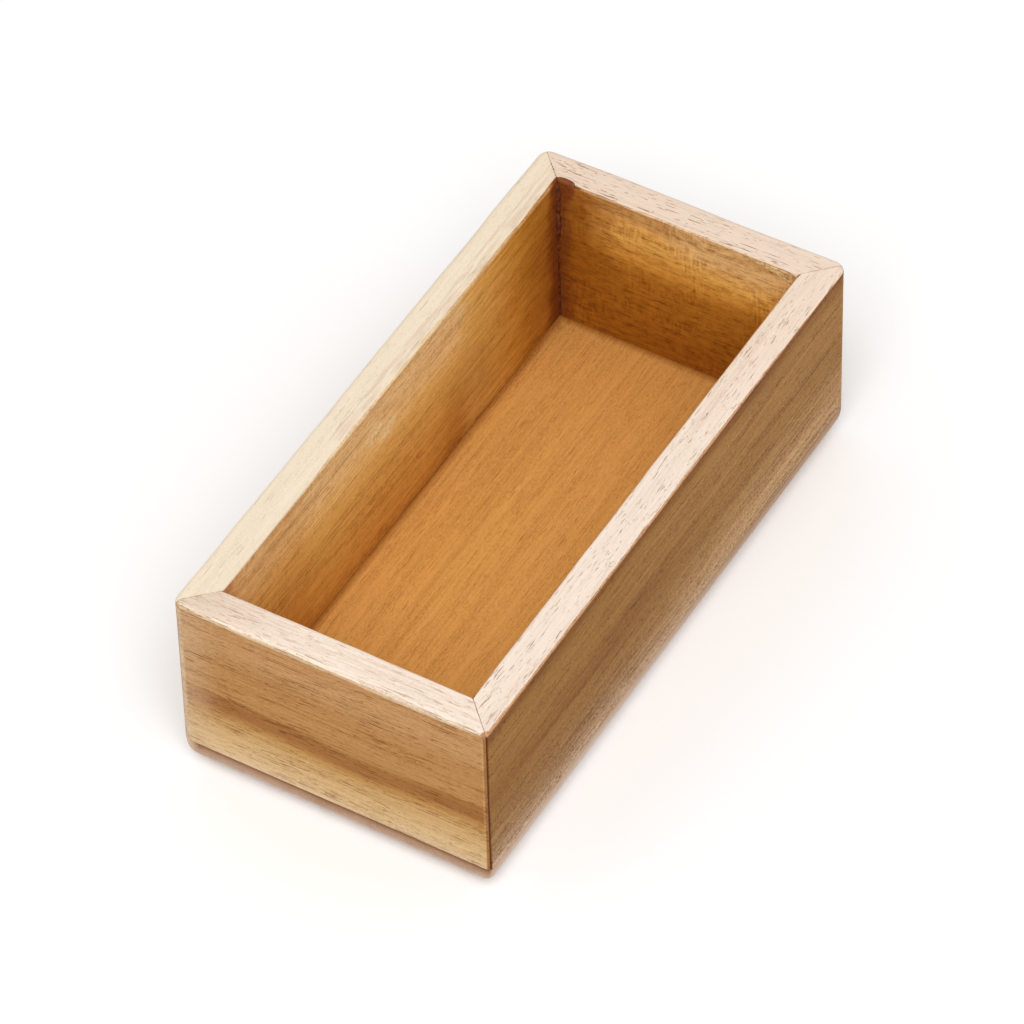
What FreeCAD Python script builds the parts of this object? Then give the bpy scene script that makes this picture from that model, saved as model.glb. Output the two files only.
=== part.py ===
import FreeCAD, Part
import math
import os
import Sketcher

# An open bin of solid wood that stands in a drawer: four mitred boards glued to each other and to a base board.
# Millimetres, +Z up. The origin is on the underside, below the middle of the bin. The long boards run along Y.

ORIGIN = FreeCAD.Vector(0, 0, 0)
UP = FreeCAD.Vector(0, 0, 1)
MITRE = 45
NEAR = 1e-4

doc = FreeCAD.newDocument("drawer_organizer")

# Driving sizes

SIZES = (
    ("length", 152.4, "outside, along Y"),
    ("width", 75.0, "outside, along X"),
    ("height", 50.0, "from the underside to the rim"),
    ("wall", 8.0, "thickness of the four upright boards"),
    ("base_thickness", 8.0, "thickness of the base board"),
    ("corner_round", 3.0, "radius of the upright corners, seen from above"),
    ("rim_round", 1.2, "radius of the outer edge of the rim"),
    ("mouth_round", 1.0, "radius of the inner edge of the rim"),
    ("foot_flat", 1.0, "upright part of the base board's edge, above its rounded lower part"),
)

sheet = doc.addObject("Spreadsheet::Sheet", "Sizes")
for row, (alias, value, meaning) in enumerate(SIZES, start=1):
    sheet.set(f"A{row}", alias)
    sheet.set(f"B{row}", str(value))
    sheet.set(f"C{row}", meaning)
    sheet.setAlias(f"B{row}", alias)
doc.recompute()


def start_body(name):
    body = doc.addObject("PartDesign::Body", name)
    body.Label = name
    return body


def ground_sketch(body, name):
    """An empty sketch on the body's own horizontal plane."""
    sketch = body.newObject("Sketcher::SketchObject", name)
    ground = [plane for plane in body.Origin.OriginFeatures if plane.Role == "XY_Plane"][0]
    sketch.AttachmentSupport = [(ground, "")]
    sketch.MapMode = "FlatFace"
    return sketch


def name_and_bind(sketch, name, constraint, expression):
    """Adds a constraint whose value follows the sheet."""
    index = sketch.addConstraint(constraint)
    sketch.renameConstraint(index, name)
    sketch.setExpression(f"Constraints.{name}", expression)


def pad(body, name, sketch, expression):
    feature = body.newObject("PartDesign::Pad", name)
    feature.Profile = sketch
    feature.setExpression("Length", expression)
    sketch.Visibility = False
    doc.recompute()
    return feature


def round_edges(body, name, base, expression, is_wanted):
    """Rounds the edges of a feature that is_wanted picks by their shape and place."""
    edges = base.Shape.Edges
    names = [f"Edge{number}" for number, edge in enumerate(edges, start=1) if is_wanted(edge)]
    if not names:
        raise RuntimeError(f"{body.Label}: no edge to round for {name}")
    feature = body.newObject("PartDesign::Fillet", name)
    feature.Base = (base, names)
    feature.setExpression("Radius", expression)
    doc.recompute()
    return feature


# Upright boards
# Each board is drawn lying along its own X axis, outer face on Y = 0 and thickness towards +Y. Its ends are mitred.
# Half of each upright corner's rounding is on the board, so the joint plane cuts the corner and its roundings in two.

def mitred_plan(body, run):
    """The board seen from above: a trapezoid whose two outer tips are rounded up to the joint planes."""
    half = sheet.get(run) / 2
    corner = sheet.corner_round
    wall = sheet.wall
    centre = half - corner
    reach = corner * math.cos(math.radians(MITRE))
    sketch = ground_sketch(body, "plan")

    def arc(side):
        middle = FreeCAD.Vector(side * centre, corner, 0)
        ends = (-90, -MITRE) if side > 0 else (180 + MITRE, 270)
        return Part.ArcOfCircle(Part.Circle(middle, UP, corner), *[math.radians(angle) for angle in ends])

    def mitre(side):
        tip = FreeCAD.Vector(side * (centre + reach), corner - reach, 0)
        return Part.LineSegment(tip, FreeCAD.Vector(side * (half - wall), wall, 0))

    outer = sketch.addGeometry(
        Part.LineSegment(FreeCAD.Vector(-centre, 0, 0), FreeCAD.Vector(centre, 0, 0)))
    right_arc = sketch.addGeometry(arc(1))
    right_mitre = sketch.addGeometry(mitre(1))
    inner = sketch.addGeometry(
        Part.LineSegment(FreeCAD.Vector(half - wall, wall, 0), FreeCAD.Vector(wall - half, wall, 0)))
    left_mitre = sketch.addGeometry(mitre(-1))
    left_arc = sketch.addGeometry(arc(-1))

    start, end, middle = 1, 2, 3
    x_axis, y_axis = -1, -2
    for constraint in (
        ("Tangent", outer, end, right_arc, start),
        ("Perpendicular", right_arc, end, right_mitre, start),
        ("Coincident", right_mitre, end, inner, start),
        ("Coincident", inner, end, left_mitre, end),
        ("Perpendicular", left_mitre, start, left_arc, start),
        ("Tangent", left_arc, end, outer, start),
        ("PointOnObject", outer, start, x_axis),
        ("PointOnObject", outer, end, x_axis),
        ("Symmetric", inner, start, inner, end, y_axis),
        ("Symmetric", right_arc, middle, left_arc, middle, y_axis),
        ("Angle", x_axis, 1, right_mitre, start, math.radians(180 - MITRE)),
    ):
        sketch.addConstraint(Sketcher.Constraint(*constraint))
    name_and_bind(
        sketch, "corner", Sketcher.Constraint("Radius", right_arc, corner), "Sizes.corner_round")
    name_and_bind(
        sketch, "thickness", Sketcher.Constraint("DistanceY", x_axis, 1, inner, start, wall), "Sizes.wall")
    name_and_bind(
        sketch, "corner_centre", Sketcher.Constraint("DistanceX", x_axis, 1, right_arc, middle, centre),
        f"Sizes.{run} / 2 - Sizes.corner_round")
    return sketch


def upright_board(name, run, across, turn):
    """A mitred board as long as the size named run, whose outer face lies half of the size named across out."""
    body = start_body(name)
    board = pad(body, "board", mitred_plan(body, run), "Sizes.height - Sizes.base_thickness")
    top = sheet.height - sheet.base_thickness

    def is_rim_edge(depth):
        return lambda edge: edge.CenterOfMass.distanceToPoint(FreeCAD.Vector(0, depth, top)) < NEAR

    rim = round_edges(body, "rim_edge", board, "Sizes.rim_round", is_rim_edge(0))
    round_edges(body, "mouth_edge", rim, "Sizes.mouth_round", is_rim_edge(sheet.wall))
    body.Placement = FreeCAD.Placement(ORIGIN, FreeCAD.Rotation(UP, turn))
    outward = body.Placement.Rotation.multVec(FreeCAD.Vector(0, -1, 0))
    body.setExpression("Placement.Base.x", f"Sizes.{across} / 2 * {round(outward.x)}")
    body.setExpression("Placement.Base.y", f"Sizes.{across} / 2 * {round(outward.y)}")
    body.setExpression("Placement.Base.z", "Sizes.base_thickness")
    return body


# Base board
# Its lower edge is rounded first, which leaves a curved ridge under each corner. The corner rounding then runs down
# the upright edge and on along the ridge, until it dies out in the flat underside.

def base_board(name):
    body = start_body(name)
    half_width = sheet.width / 2
    half_length = sheet.length / 2
    sketch = ground_sketch(body, "plan")
    corners = [
        FreeCAD.Vector(x * half_width, y * half_length, 0) for x, y in ((-1, -1), (1, -1), (1, 1), (-1, 1))
    ]
    for number in range(4):
        sketch.addGeometry(Part.LineSegment(corners[number], corners[(number + 1) % 4]))
    for number in range(4):
        sketch.addConstraint(Sketcher.Constraint("Coincident", number, 2, (number + 1) % 4, 1))
    for front_or_back in (0, 2):
        sketch.addConstraint(Sketcher.Constraint("Horizontal", front_or_back))
    for side in (1, 3):
        sketch.addConstraint(Sketcher.Constraint("Vertical", side))
    sketch.addConstraint(Sketcher.Constraint("Symmetric", 0, 1, 2, 1, -1, 1))
    name_and_bind(
        sketch, "width", Sketcher.Constraint("DistanceX", 0, 1, 0, 2, sheet.width), "Sizes.width")
    name_and_bind(
        sketch, "length", Sketcher.Constraint("DistanceY", 1, 1, 1, 2, sheet.length), "Sizes.length")
    board = pad(body, "board", sketch, "Sizes.base_thickness")

    def is_lower_edge(edge):
        return edge.BoundBox.ZMax < NEAR

    def is_corner_edge(edge):
        low, high = edge.BoundBox.ZMin, edge.BoundBox.ZMax
        tops = [vertex for vertex in edge.Vertexes if abs(vertex.Z - high) < NEAR]
        at_corner = any(
            abs(abs(top.X) - half_width) < NEAR and abs(abs(top.Y) - half_length) < NEAR for top in tops)
        return high - low > NEAR and at_corner

    foot = round_edges(
        body, "foot_edge", board, "Sizes.base_thickness - Sizes.foot_flat", is_lower_edge)
    round_edges(body, "corners", foot, "Sizes.corner_round", is_corner_edge)
    return body


nodes = [
    upright_board("front_wall", run="width", across="length", turn=0),
    upright_board("right_wall", run="length", across="width", turn=90),
    upright_board("back_wall", run="width", across="length", turn=180),
    upright_board("left_wall", run="length", across="width", turn=270),
    base_board("base_board"),
]
doc.recompute()

# Checks, then one file for each piece

for item in doc.Objects:
    if "Invalid" in item.State or "Error" in item.State:
        raise RuntimeError(f"{item.Label} failed: {item.State}")
for node in nodes:
    if node.Shape.isNull() or not node.Shape.isValid() or len(node.Shape.Solids) != 1:
        raise RuntimeError(f"{node.Label} is not one valid solid")

os.makedirs("parts", exist_ok=True)
for node in nodes:
    node.Shape.exportStep(os.path.join("parts", f"{node.Label}.step"))
    box = node.Shape.BoundBox
    print(f"{node.Label}: {node.Shape.Volume:.1f} mm3, x {box.XMin:.2f} to {box.XMax:.2f}, "
          f"y {box.YMin:.2f} to {box.YMax:.2f}, z {box.ZMin:.2f} to {box.ZMax:.2f}")
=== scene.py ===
import math

import bmesh
import bpy
from mathutils import Matrix, Vector


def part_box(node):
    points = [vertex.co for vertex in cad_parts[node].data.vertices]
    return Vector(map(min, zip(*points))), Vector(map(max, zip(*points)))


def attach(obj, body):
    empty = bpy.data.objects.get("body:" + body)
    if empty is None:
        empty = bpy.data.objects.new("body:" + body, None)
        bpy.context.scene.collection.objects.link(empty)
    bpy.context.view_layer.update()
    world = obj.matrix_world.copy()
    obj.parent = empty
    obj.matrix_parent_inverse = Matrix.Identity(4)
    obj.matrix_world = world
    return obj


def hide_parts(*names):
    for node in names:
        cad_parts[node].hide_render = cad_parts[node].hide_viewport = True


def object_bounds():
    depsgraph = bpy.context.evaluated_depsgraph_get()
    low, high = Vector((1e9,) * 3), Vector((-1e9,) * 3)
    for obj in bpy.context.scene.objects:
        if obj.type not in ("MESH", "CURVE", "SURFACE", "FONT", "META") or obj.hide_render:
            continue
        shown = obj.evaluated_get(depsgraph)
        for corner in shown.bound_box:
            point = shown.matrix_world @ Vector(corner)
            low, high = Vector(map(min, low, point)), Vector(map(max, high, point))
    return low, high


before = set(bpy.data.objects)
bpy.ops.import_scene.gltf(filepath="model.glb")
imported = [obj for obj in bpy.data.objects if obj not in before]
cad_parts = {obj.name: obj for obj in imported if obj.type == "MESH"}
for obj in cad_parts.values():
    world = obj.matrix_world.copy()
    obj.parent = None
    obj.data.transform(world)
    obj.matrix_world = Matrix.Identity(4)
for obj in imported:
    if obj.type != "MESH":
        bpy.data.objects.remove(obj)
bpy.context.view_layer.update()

# View
# A long lens, high over the near right corner. Turn, tilt and roll are in degrees, distances in metres.
TURN, TILT, ROLL = 31.5, 47.36, -1.69
LENS, FILM = 254.38, 36.0
AIM = Vector((-0.00756, 0.00974, 0.01128))
DISTANCE = 1.54434


def bring_in(name, data):
    """Puts an object with the given mesh, lens or lamp into the scene."""
    item = bpy.data.objects.new(name, data)
    bpy.context.collection.objects.link(item)
    return item


turn, tilt = math.radians(TURN), math.radians(TILT)
backward = Vector((math.sin(turn) * math.cos(tilt), -math.cos(turn) * math.cos(tilt), math.sin(tilt)))
rightward = Vector((math.cos(turn), math.sin(turn), 0))
upward = backward.cross(rightward)
axes = Matrix((rightward, upward, backward)).transposed().to_4x4()
camera = bring_in("camera", bpy.data.cameras.new("camera"))
camera.data.lens = LENS
camera.data.sensor_width = FILM
camera.data.clip_start, camera.data.clip_end = 0.01, 100
camera.matrix_world = (
    Matrix.Translation(AIM + backward * DISTANCE) @ axes @ Matrix.Rotation(math.radians(ROLL), 4, "Z"))
bpy.context.scene.camera = camera
bpy.context.scene.view_settings.view_transform = "Standard"


# Four mitred boards
# Solid hardwood, 8 mm thick, cut at 45 degrees at both ends and glued into a ring on the base board. The rim's outer
# edge and the upright corners are rounded over by hand after gluing, so every rounding runs through the joints.
WALL = 0.008
RIM_ROUND = 0.0018
MOUTH_ROUND = 0.001
MOUTH_SHARE, MOUTH_SHARE_AT_END = 0.75, 0.8
END_STRETCH = (0.012, 0.001)
FOOT_EASE = 0.00015
JOINT_EASE = 0.00006
JOINT_WIDTH = 0.0001
WEAR_WAVE, WEAR_SWING = 0.014, 0.2
ROUND_STEPS, ARC_STEPS, JOINT_STEPS, BAY_STEPS = 8, 6, 2, 60
SHARP_ANGLE = math.radians(35)
TINY, WELD = 1e-6, 1e-7


def start_tree(name, kind, inputs, outputs):
    """An empty node tree with its named inputs, as {name: (type, value)}, and its named outputs, as {name: type}."""
    tree = bpy.data.node_groups.new(name, kind)
    for label, (form, value) in inputs.items():
        socket = tree.interface.new_socket(label, in_out="INPUT", socket_type="NodeSocket" + form)
        if value is not None:
            socket.default_value = value
    for label, form in outputs.items():
        tree.interface.new_socket(label, in_out="OUTPUT", socket_type="NodeSocket" + form)
    return tree, tree.nodes.new("NodeGroupInput").outputs, tree.nodes.new("NodeGroupOutput").inputs


def put(tree, value, socket):
    """Gives an input its value, which is a number, a colour or another node's output."""
    if isinstance(value, bpy.types.NodeSocket):
        tree.links.new(value, socket)
    else:
        socket.default_value = value


def add(tree, kind, values=(), **settings):
    """Adds a node with its settings and the values of its inputs, by their name or place."""
    node = tree.nodes.new(kind)
    for key, setting in settings.items():
        setattr(node, key, setting)
    for key, value in dict(values).items():
        put(tree, value, node.inputs[key])
    return node


def calc(tree, operation, *values):
    """One step of arithmetic on numbers."""
    return add(tree, "ShaderNodeMath", enumerate(values), operation=operation).outputs[0]


def times(tree, first, *others):
    for other in others:
        first = calc(tree, "MULTIPLY", first, other)
    return first


def plus(tree, first, *others):
    for other in others:
        first = calc(tree, "ADD", first, other)
    return first


def minus(tree, first, *others):
    for other in others:
        first = calc(tree, "SUBTRACT", first, other)
    return first


def rest(tree, share):
    """What a share leaves of 1."""
    return minus(tree, 1.0, share)


def aim(tree, operation, *values):
    """One step of arithmetic on vectors."""
    return add(tree, "ShaderNodeVectorMath", enumerate(values), operation=operation).outputs[0]


def ramp(tree, value, start, end, low=0.0, high=1.0, kind="LINEAR"):
    """Goes from low to high while value goes from start to end, and stays there."""
    values = {0: value, 1: start, 2: end, 3: low, 4: high}
    return add(tree, "ShaderNodeMapRange", values, interpolation_type=kind, clamp=True).outputs[0]


def between(tree, share, low, high):
    """The number that lies a share of the way from low to high."""
    return ramp(tree, share, 0.0, 1.0, low, high)


def triple(tree, x=0.0, y=0.0, z=0.0):
    return add(tree, "ShaderNodeCombineXYZ", {0: x, 1: y, 2: z}).outputs[0]


def parts(tree, vector):
    return add(tree, "ShaderNodeSeparateXYZ", {0: vector}).outputs


def spread(tree, place, size, seed):
    """The place counted in spots of the given size, shifted to a stretch of the pattern that belongs to the seed."""
    shift = add(tree, "ShaderNodeVectorMath", {0: (1.31, 2.17, 0.73), 3: seed}, operation="SCALE").outputs[0]
    return aim(tree, "MULTIPLY_ADD", place, tuple(1 / length for length in size), shift)


def speckle(tree, place, size, seed, detail=1.0, rough=0.5):
    """Soft noise from 0 to 1 whose spots have the given size along X, Y and Z."""
    values = {"Vector": spread(tree, place, size, seed), "Scale": 1.0, "Detail": detail, "Roughness": rough}
    return add(tree, "ShaderNodeTexNoise", values).outputs["Fac"]


def ragged(tree, place, size, seed, reach, detail=2.0):
    """Soft noise as a push either way, seldom further than reach."""
    return ramp(tree, speckle(tree, place, size, seed, detail=detail), 0.2, 0.8, -reach, reach)


# The shape of a board, drawn with X along it, Y inwards from its outer face and Z up from its foot
def capture(tree, geometry, **fields):
    """Keeps fields on the points of a curve, as {name: (type, field)}, and gives the curve and the kept values."""
    node = tree.nodes.new("GeometryNodeCaptureAttribute")
    for name, (form, field) in fields.items():
        node.capture_items.new(form, name)
    tree.links.new(geometry, node.inputs[0])
    for place, (name, (form, field)) in enumerate(fields.items(), start=1):
        tree.links.new(field, node.inputs[place])
    return node.outputs


def in_rounding(tree, from_side, below, radius):
    """1 on the section's points that lie within a rounding's radius of both sides that it joins."""
    limit = plus(tree, radius, TINY)
    return times(tree, calc(tree, "LESS_THAN", from_side, limit), calc(tree, "LESS_THAN", below, limit))


tree, given, result = start_tree("Mitred board", "GeometryNodeTree", {
    "Length": ("Float", 0.1),
    "Height": ("Float", 0.042),
    "Wall": ("Float", WALL),
    "Left Corner": ("Float", 0.003),
    "Right Corner": ("Float", 0.003),
    "Rim Left": ("Float", 0.0012),
    "Rim Middle": ("Float", 0.0012),
    "Rim Right": ("Float", 0.0012),
    "Rim Round": ("Float", RIM_ROUND),
    "Mouth Round": ("Float", MOUTH_ROUND),
    "Foot Ease": ("Float", FOOT_EASE),
    "Joint Ease": ("Float", JOINT_EASE),
    "Joint Width": ("Float", JOINT_WIDTH),
    "Seed": ("Float", 0.0),
    "Wood": ("Material", None),
}, {"Geometry": "Geometry"})

# Its section, with depth from the outer face as X and height as Y
section = add(tree, "GeometryNodeCurvePrimitiveQuadrilateral", {
    "Point 1": triple(tree),
    "Point 2": triple(tree, 0.0, given["Height"]),
    "Point 3": triple(tree, given["Wall"], given["Height"]),
    "Point 4": triple(tree, given["Wall"]),
}, mode="POINTS").outputs[0]
radius = add(tree, "GeometryNodeIndexSwitch", data_type="FLOAT")
radius.index_switch_items.new()
radius.index_switch_items.new()
tree.links.new(add(tree, "GeometryNodeInputIndex").outputs[0], radius.inputs[0])
for place, name in enumerate(("Foot Ease", "Rim Round", "Mouth Round", "Foot Ease"), start=1):
    tree.links.new(given[name], radius.inputs[place])
rounded = add(tree, "GeometryNodeFilletCurve", {
    "Curve": section, "Count": ROUND_STEPS, "Radius": radius.outputs[0]}, mode="POLY").outputs[0]
section, kept_place, kept_way = capture(
    tree, rounded,
    place=("VECTOR", add(tree, "GeometryNodeInputPosition").outputs[0]),
    way=("VECTOR", add(tree, "GeometryNodeInputTangent").outputs[0]))[:3]

# Its run from mitre to mitre, counted in steps: joint, corner, straight bay, corner, joint
last_step = BAY_STEPS + 2 * (ARC_STEPS + JOINT_STEPS)
line = add(tree, "GeometryNodeCurvePrimitiveLine", {"End": (1, 0, 0)}).outputs[0]
line = add(tree, "GeometryNodeResampleCurve", {"Curve": line, "Count": last_step + 1}).outputs[0]
run, kept_step = capture(tree, line, step=("FLOAT", add(tree, "GeometryNodeInputIndex").outputs[0]))[:2]
swept = add(tree, "GeometryNodeCurveToMesh", {"Curve": run, "Profile Curve": section, "Fill Caps": True}).outputs[0]
centred = minus(tree, kept_step, last_step / 2)
side = calc(tree, "SIGN", centred)
from_end = minus(tree, last_step / 2, calc(tree, "ABSOLUTE", centred))
straight = ramp(tree, from_end, JOINT_STEPS + ARC_STEPS, last_step / 2, 1.0, 0.0)
half = calc(tree, "MULTIPLY", given["Length"], 0.5)
corner = ramp(tree, side, -1.0, 1.0, given["Left Corner"], given["Right Corner"])

# The roundings of the rim are cut finer than drawn, by drawing their points towards the edge that they replace
depth, rise, _ = parts(tree, kept_place)
way_in, way_up, _ = parts(tree, kept_way)
below = minus(tree, given["Height"], rise)
behind = minus(tree, given["Wall"], depth)
to_end = times(tree, half, rest(tree, straight))
near_end = ramp(tree, to_end, *END_STRETCH, kind="SMOOTHSTEP")
run_place = triple(tree, times(tree, straight, side, half))
worn = plus(tree, 1.0, ragged(tree, run_place, (WEAR_WAVE, 1.0, 1.0), given["Seed"], WEAR_SWING))
middle = times(tree, given["Rim Middle"], worn)
end = ramp(tree, side, -1.0, 1.0, given["Rim Left"], given["Rim Right"])
rim_now = between(tree, near_end, middle, end)
at_rim = in_rounding(tree, depth, below, given["Rim Round"])
at_mouth = in_rounding(tree, behind, below, given["Mouth Round"])
rim_share = calc(tree, "DIVIDE", rim_now, given["Rim Round"])
mouth_share = between(tree, near_end, times(tree, worn, MOUTH_SHARE), MOUTH_SHARE_AT_END)
share = between(tree, at_rim, 1.0, rim_share)
share = between(tree, at_mouth, share, mouth_share)
depth = between(tree, at_rim, depth, times(tree, depth, share))
depth = between(tree, at_mouth, depth, minus(tree, given["Wall"], times(tree, behind, share)))
rise = minus(tree, given["Height"], times(tree, below, share))

# At the joints the whole section is eased inwards, which leaves a fine groove along the mitre
eased = ramp(tree, from_end, 0.0, JOINT_STEPS, given["Joint Ease"], 0.0)
depth = calc(tree, "MULTIPLY_ADD", way_up, eased, depth)
rise = minus(tree, rise, times(tree, way_in, eased))

# The rounded corner swings about a centre that slides down the mitre for points deeper than its radius
centre = calc(tree, "MAXIMUM", corner, depth)
swing = calc(tree, "MAXIMUM", minus(tree, corner, depth), 0.0)
joint_angle = calc(tree, "DIVIDE", given["Joint Width"], corner)
arc_end = minus(tree, math.pi / 4, joint_angle)
in_joint = ramp(tree, from_end, 0.0, JOINT_STEPS, joint_angle, 0.0)
in_arc = ramp(tree, from_end, JOINT_STEPS, JOINT_STEPS + ARC_STEPS, arc_end, 0.0)
angle = times(tree, side, plus(tree, in_joint, in_arc))
inner_share = rest(tree, calc(tree, "DIVIDE", swing, corner))
held_back = times(tree, inner_share, ramp(tree, from_end, 0.0, JOINT_STEPS, 0.0, given["Joint Width"]))
reach = minus(tree, half, centre, held_back)
x = times(tree, side, straight, reach)
x = plus(tree, x, times(tree, swing, calc(tree, "SINE", angle)))
y = minus(tree, centre, times(tree, swing, calc(tree, "COSINE", angle)))
shaped = add(tree, "GeometryNodeSetPosition", {"Geometry": swept, "Position": triple(tree, x, y, rise)}).outputs[0]
merged = add(tree, "GeometryNodeMergeByDistance", {"Geometry": shaped, "Distance": WELD}).outputs[0]
outward = add(tree, "GeometryNodeFlipFaces", {0: merged}).outputs[0]
turned_edge = add(tree, "FunctionNodeCompare", {
    0: add(tree, "GeometryNodeInputMeshEdgeAngle").outputs[0], 1: SHARP_ANGLE}, operation="GREATER_THAN").outputs[0]
creased = add(tree, "GeometryNodeStoreNamedAttribute", {
    "Geometry": outward, "Name": "sharp_edge", "Value": turned_edge}, data_type="BOOLEAN", domain="EDGE").outputs[0]
realized = add(tree, "GeometryNodeRealizeInstances", {"Geometry": creased}).outputs[0]
finished = add(tree, "GeometryNodeSetMaterial", {"Geometry": realized, "Material": given["Wood"]}).outputs[0]
tree.links.new(finished, result["Geometry"])
board_tree = tree


def grow(name, tree, place, **inputs):
    """Runs a tree on an empty mesh and keeps the result as a plain mesh, with its place worked into it."""
    source = bring_in(name + "_source", bpy.data.meshes.new(name + "_source"))
    modifier = source.modifiers.new("made", "NODES")
    modifier.node_group = tree
    sockets = {item.name: item.identifier for item in tree.interface.items_tree if item.in_out == "INPUT"}
    for label, value in inputs.items():
        modifier[sockets[label.replace("_", " ")]] = value
    graph = bpy.context.evaluated_depsgraph_get()
    mesh = bpy.data.meshes.new_from_object(source.evaluated_get(graph))
    mesh.name = name
    mesh.transform(place)
    bpy.data.objects.remove(source)
    piece = bring_in(name, mesh)
    piece.modifiers.new("flat_faces", "WEIGHTED_NORMAL").keep_sharp = True
    return piece


# The wood: an open-pored hardwood, oiled, then sanded again along the rim, whose pale colour is partly that sanding
# and partly painted top light. The grain is a solid pattern that runs along the board, so it turns the corner from a
# face to the rim and shows end grain on a cut end.
def blend(tree, share, base, top, way="MIX"):
    """Lays one colour over another."""
    node = tree.nodes.new("ShaderNodeMix")
    node.data_type, node.blend_type = "RGBA", way
    for socket, value in ((node.inputs[0], share), (node.inputs[6], base), (node.inputs[7], top)):
        put(tree, value, socket)
    return node.outputs[2]


def gap(tree, first, second):
    """How far two numbers lie apart."""
    return calc(tree, "ABSOLUTE", minus(tree, first, second))


def turned_up(tree):
    """How far the surface faces up: 0 on a board's faces, 1 on its rim, and in between on the rounded edges."""
    return parts(tree, add(tree, "ShaderNodeNewGeometry").outputs["Normal"])[2]


def shade(red, green, blue):
    """A colour given from 0 to 255, as pictures store it, in the linear form that nodes use."""
    def linear(value):
        value /= 255
        return value / 12.92 if value <= 0.04045 else ((value + 0.055) / 1.055) ** 2.4
    return (linear(red), linear(green), linear(blue), 1.0)


def place_group(tree, group, **values):
    """Places a shader group with its values, where an input's name has _ for each space."""
    node = add(tree, "ShaderNodeGroup", node_tree=group)
    for label, value in values.items():
        put(tree, value, node.inputs[label.replace("_", " ")])
    return node.outputs


SHORT_FIBRE = (0.0007, 0.00022, 0.00022)
FIBRE = (0.006, 0.0003, 0.0003)
LONG_FIBRE = (0.04, 0.0006, 0.0006)
PORE = (0.0045, 0.00027, 0.00027)
SHORT_PORE = (0.0018, 0.00024, 0.00024)
PORE_CROWD = (0.014, 0.0022, 0.0022)
BAND = (0.12, 0.0035, 0.0035)
CURL = (0.003, 0.03, 0.0012)
CROSS_BARS = (0.0007, 0.03, 0.004)
BAR_PATCH = (0.012, 0.03, 0.01)
DRIFT = (0.05, 0.02, 0.02)
WANDER = (0.0, 0.0018, 0.0018)
MANY_SHORT_FIBRES = 1.8
FEW_PORES, MANY_PORES, CROWDING = 0.28, 0.42, 0.05

tree, given, result = start_tree("Wood grain", "ShaderNodeTree", {
    "Place": ("Vector", None),
    "Seed": ("Float", 0.0),
    "Pore Share": ("Float", 0.6),
    "Pore Length": ("Float", 1.0),
    "Short Fibres": ("Float", MANY_SHORT_FIBRES),
}, {"Fibres": "Float", "Pores": "Float", "Bands": "Float", "Curl": "Float"})
seed, short = given["Seed"], given["Short Fibres"]
drift = add(tree, "ShaderNodeTexNoise", {
    "Vector": spread(tree, given["Place"], DRIFT, seed), "Scale": 1.0, "Detail": 1.0}).outputs["Color"]
drift = aim(tree, "MULTIPLY", aim(tree, "SUBTRACT", drift, (0.5, 0.5, 0.5)), WANDER)
place = aim(tree, "ADD", given["Place"], drift)
fibres = calc(
    tree, "MULTIPLY_ADD", speckle(tree, place, SHORT_FIBRE, seed), short,
    speckle(tree, place, FIBRE, seed, detail=2.0))
fibres = plus(tree, fibres, speckle(tree, place, LONG_FIBRE, seed, detail=1.5))
fibres = minus(tree, fibres, calc(tree, "MULTIPLY_ADD", short, 0.5, 1.0))
fibres = calc(tree, "DIVIDE", fibres, ramp(tree, short, 0.5, MANY_SHORT_FIBRES, 0.56, 0.85))
tree.links.new(ramp(tree, fibres, -1.0, 1.0, -1.0, 1.0), result["Fibres"])

# Pores are where fine noise runs low, so they differ in length and depth, and they come in crowds
crowd = ramp(tree, speckle(tree, place, PORE_CROWD, seed), 0.3, 0.7, -CROWDING, CROWDING)
drawn_out = aim(tree, "DIVIDE", place, triple(tree, given["Pore Length"], 1.0, 1.0))
limit = plus(tree, crowd, between(tree, given["Pore Share"], FEW_PORES, MANY_PORES))
long_pores = ramp(tree, minus(tree, limit, speckle(tree, drawn_out, PORE, seed)), 0.0, 0.045)
limit = minus(tree, limit, 0.03)
short_pores = ramp(tree, minus(tree, limit, speckle(tree, drawn_out, SHORT_PORE, seed)), 0.0, 0.06)
tree.links.new(calc(tree, "MAXIMUM", long_pores, short_pores), result["Pores"])
tree.links.new(ramp(tree, speckle(tree, place, BAND, seed, detail=2.0), 0.25, 0.75, -1.0, 1.0), result["Bands"])

# Curl is the light and dark cloudiness of a face whose fibres wave in and out of it
patches = ramp(tree, speckle(tree, place, BAR_PATCH, seed), 0.45, 0.62)
bars = times(tree, minus(tree, speckle(tree, given["Place"], CROSS_BARS, seed, detail=2.0), 0.5), patches)
curl = plus(tree, speckle(tree, place, CURL, seed, detail=3.0), bars)
tree.links.new(ramp(tree, curl, 0.25, 0.75, -1.0, 1.0), result["Curl"])
grain_group = tree

# Fibres, bands and curl run from -1, dark, to 1, light, and pores cut fine dark dashes
DARK_FIBRE, LIGHT_FIBRE = (0.45, 0.28, 0.14, 1), (1.3, 1.38, 1.5, 1)
tree, given, result = start_tree("Grained colour", "ShaderNodeTree", {
    "Colour": ("Color", (0.5, 0.3, 0.1, 1)),
    "Pore Tint": ("Color", (0.5, 0.32, 0.2, 1)),
    "Fibres": ("Float", 0.0),
    "Pores": ("Float", 0.0),
    "Bands": ("Float", 0.0),
    "Curl": ("Float", 0.0),
    "Fibre Depth": ("Float", 0.5),
    "Pore Depth": ("Float", 0.5),
    "Band Depth": ("Float", 0.3),
    "Curl Depth": ("Float", 0.0),
}, {"Colour": "Color"})
level = times(tree, given["Fibres"], given["Fibre Depth"])
level = calc(tree, "MULTIPLY_ADD", given["Bands"], given["Band Depth"], level)
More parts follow.
